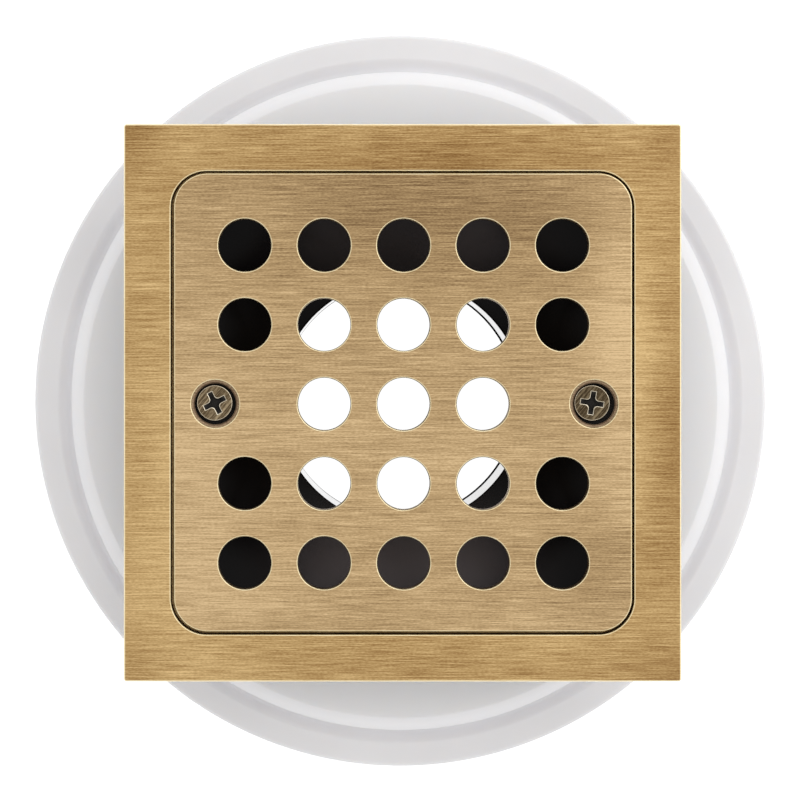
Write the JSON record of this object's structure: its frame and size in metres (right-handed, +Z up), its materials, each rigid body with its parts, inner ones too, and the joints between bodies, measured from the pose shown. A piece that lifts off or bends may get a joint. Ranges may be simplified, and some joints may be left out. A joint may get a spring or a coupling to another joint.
{
  "type": "floor drain grate",
  "caption": "Adjustable floor drain: square aged brass grate and frame on a black threaded barrel in a white clamping flange.",
  "frame": {"origin": "centre of the hub's end, on the drain's axis, on the plane that the drain stands on", "axes": "+Z up along the drain's axis, towards the grate's top; +X from the left grate screw to the right one"},
  "size_m": [0.1484, 0.1484, 0.075],
  "materials": {
    "white_pvc": "satin off-white",
    "black_abs": "satin black",
    "black_rubber": "matte",
    "aged_brass": "brushed, aged",
    "plain_brass": "turned",
    "bronze_screw": "dark aged",
    "stainless_steel": "satin"
  },
  "bodies": {
    "base": {"drain_base": "white_pvc", "membrane_gasket": "black_rubber", "clamping_collar": "white_pvc", "clamp_bolt_1": "stainless_steel", "clamp_bolt_2": "stainless_steel", "clamp_bolt_3": "stainless_steel", "clamp_bolt_4": "stainless_steel", "clamp_washer_1": "stainless_steel", "clamp_washer_2": "stainless_steel", "clamp_washer_3": "stainless_steel", "clamp_washer_4": "stainless_steel", "clamp_insert_1": "plain_brass", "clamp_insert_2": "plain_brass", "clamp_insert_3": "plain_brass", "clamp_insert_4": "plain_brass"},
    "riser": {"neck_gasket": "black_rubber"},
    "barrel": {"strainer_barrel": "black_abs", "grate_frame": "aged_brass", "frame_screw_1": "stainless_steel", "frame_screw_2": "stainless_steel", "frame_screw_3": "stainless_steel", "frame_screw_4": "stainless_steel", "grate_insert_left": "plain_brass", "grate_insert_right": "plain_brass"},
    "grate": {"grate": "aged_brass"},
    "captive_left": {"retaining_washer_left": "stainless_steel"},
    "screw_left": {"grate_screw_left": "bronze_screw"},
    "captive_right": {"retaining_washer_right": "stainless_steel"},
    "screw_right": {"grate_screw_right": "bronze_screw"}
  },
  "joints": [
    {"name": "barrel_rise", "type": "slide", "parent": "base", "child": "riser", "axis": [0, 0, 1], "range_m": [-0.00301, 0.01201]},
    {"name": "barrel_turn", "type": "hinge", "parent": "riser", "child": "barrel", "pos_m": [0, 0, 0.055], "axis": [0, 0, 1], "range_deg": [-360, 1440]},
    {"name": "grate_lift", "type": "slide", "parent": "barrel", "child": "grate", "axis": [0, 0, 1], "range_m": [0, 0.04]},
    {"name": "screw_left_rise", "type": "slide", "parent": "grate", "child": "captive_left", "axis": [0, 0, 1], "range_m": [0, 0.0035]},
    {"name": "screw_left_turn", "type": "hinge", "parent": "captive_left", "child": "screw_left", "pos_m": [-0.03685, 0, 0.0729], "axis": [0, 0, 1], "range_deg": [0, 1801]},
    {"name": "screw_right_rise", "type": "slide", "parent": "grate", "child": "captive_right", "axis": [0, 0, 1], "range_m": [0, 0.0035]},
    {"name": "screw_right_turn", "type": "hinge", "parent": "captive_right", "child": "screw_right", "pos_m": [0.03685, 0, 0.0729], "axis": [0, 0, 1], "range_deg": [0, 1801]}
  ],
  "couplings": [
    {"joint": "barrel_rise", "follows": "barrel_turn", "m_per_rad": 0.00047746},
    {"joint": "screw_left_turn", "follows": "screw_left_rise", "rad_per_m": 8976},
    {"joint": "screw_right_turn", "follows": "screw_right_rise", "rad_per_m": 8976}
  ]
}
